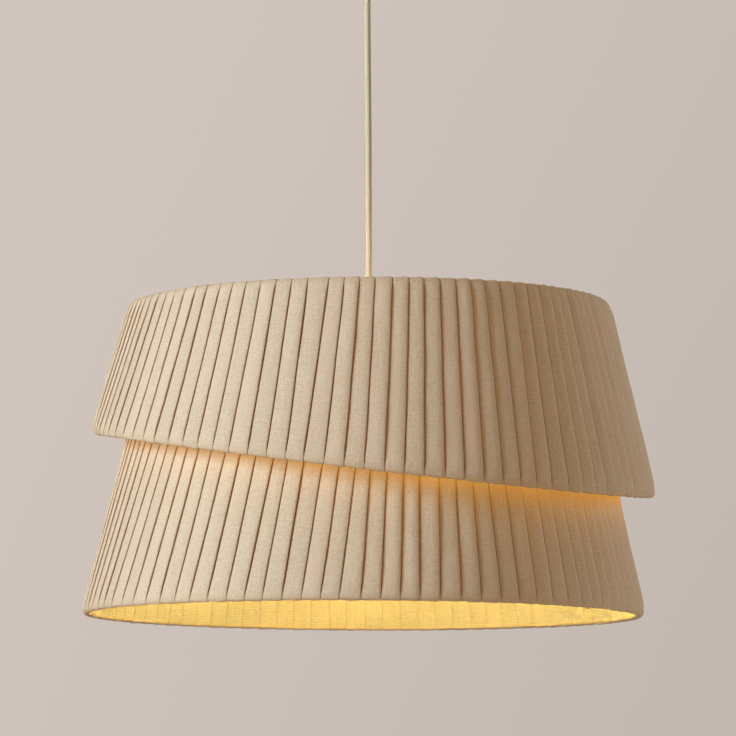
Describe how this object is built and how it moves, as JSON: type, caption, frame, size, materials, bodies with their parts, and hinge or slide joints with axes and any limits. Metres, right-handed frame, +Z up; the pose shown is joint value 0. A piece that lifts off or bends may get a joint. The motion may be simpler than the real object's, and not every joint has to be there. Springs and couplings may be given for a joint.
{
  "type": "pendant lamp shade",
  "caption": "Tiered pleated fabric pendant lamp shade with a slanted upper rim, on its wire frame, with lampholder, bulb, cord and ceiling rose.",
  "frame": {"origin": "centre of the ceiling rose's back face, where it meets the ceiling", "axes": "+Z up, out of the rose towards the ceiling; +X the side where the slanted rim is low; -Y the front, towards the viewer"},
  "size_m": [0.456, 0.4557, 0.5599],
  "materials": {
    "cover_cloth": "matte natural linen-look cloth in overlapping pleats, glowing warm where the bulb lights it",
    "cord_cloth": "cream braided textile sleeve",
    "wire_paint": "cream powder coat",
    "cream_plastic": "satin cream moulding",
    "white_plastic": "satin white moulding",
    "brass": "plain brass",
    "steel": "plated steel",
    "aluminium": "plain aluminium",
    "porcelain": "white glazed insulator",
    "black_glass": "black insulating glass",
    "opal": "opal diffuser, lit warm white",
    "core_brown": "brown core insulation",
    "core_blue": "blue core insulation"
  },
  "bodies": {
    "ceiling_rose": {"rose_base_plate": "cream_plastic", "terminal_block": "white_plastic", "terminal_screw_live": "brass", "terminal_screw_neutral": "brass", "cord_grip": "white_plastic", "grip_screw": "steel", "cord_tail": "cord_cloth"},
    "rose_cover": {"rose_cover": "cream_plastic"},
    "cord": {"pendant_cord": "cord_cloth"},
    "lampholder": {"cord_nipple": "cream_plastic", "lampholder_cap": "cream_plastic", "cord_end": "cord_cloth", "core_live": "core_brown", "core_neutral": "core_blue", "contact_carrier": "porcelain", "holder_screw_live": "brass", "holder_screw_neutral": "brass", "centre_contact": "brass", "lampholder_body": "cream_plastic", "screw_shell": "brass"},
    "shade_ring": {"shade_ring": "cream_plastic"},
    "shade": {"bridge_wire_1": "wire_paint", "bridge_wire_2": "wire_paint", "bridge_wire_3": "wire_paint", "fitter_ring": "wire_paint", "lower_cover": "cover_cloth", "lower_rim_ring": "wire_paint", "lower_strut_1": "wire_paint", "lower_strut_2": "wire_paint", "lower_strut_3": "wire_paint", "lower_strut_4": "wire_paint", "lower_strut_5": "wire_paint", "lower_strut_6": "wire_paint", "lower_top_ring": "wire_paint", "spider_arm_1": "wire_paint", "spider_arm_2": "wire_paint", "spider_arm_3": "wire_paint", "upper_cover": "cover_cloth", "upper_rim_ring": "wire_paint", "upper_strut_1": "wire_paint", "upper_strut_2": "wire_paint", "upper_strut_3": "wire_paint", "upper_strut_4": "wire_paint", "upper_strut_5": "wire_paint", "upper_strut_6": "wire_paint", "upper_top_ring": "wire_paint"},
    "bulb": {"bulb_contact": "steel", "bulb_insulator": "black_glass", "bulb_cap": "aluminium", "bulb_housing": "white_plastic", "bulb_led_board": "aluminium", "bulb_dome": "opal"}
  },
  "joints": [
    {"name": "cover_travel", "type": "slide", "parent": "ceiling_rose", "child": "rose_cover", "axis": [0, 0, -1], "range_m": [0, 0.012]},
    {"name": "cord_swing", "type": "hinge", "parent": "ceiling_rose", "child": "cord", "pos_m": [0, 0, -0.0452], "axis": [1, 0, 0], "range_deg": [-25, 25]},
    {"name": "lamp_tilt", "type": "hinge", "parent": "cord", "child": "lampholder", "pos_m": [0, 0, -0.2976], "axis": [0, 1, 0], "range_deg": [-12, 12]},
    {"name": "ring_unscrew", "type": "slide", "parent": "lampholder", "child": "shade_ring", "axis": [0, 0, -1], "range_m": [0, 0.014]},
    {"name": "shade_turn", "type": "hinge", "parent": "shade_ring", "child": "shade", "pos_m": [0, 0, -0.3423], "axis": [0, 0, 1], "continuous": true},
    {"name": "bulb_unscrew", "type": "slide", "parent": "lampholder", "child": "bulb", "axis": [0, 0, -1], "range_m": [0, 0.03]}
  ]
}
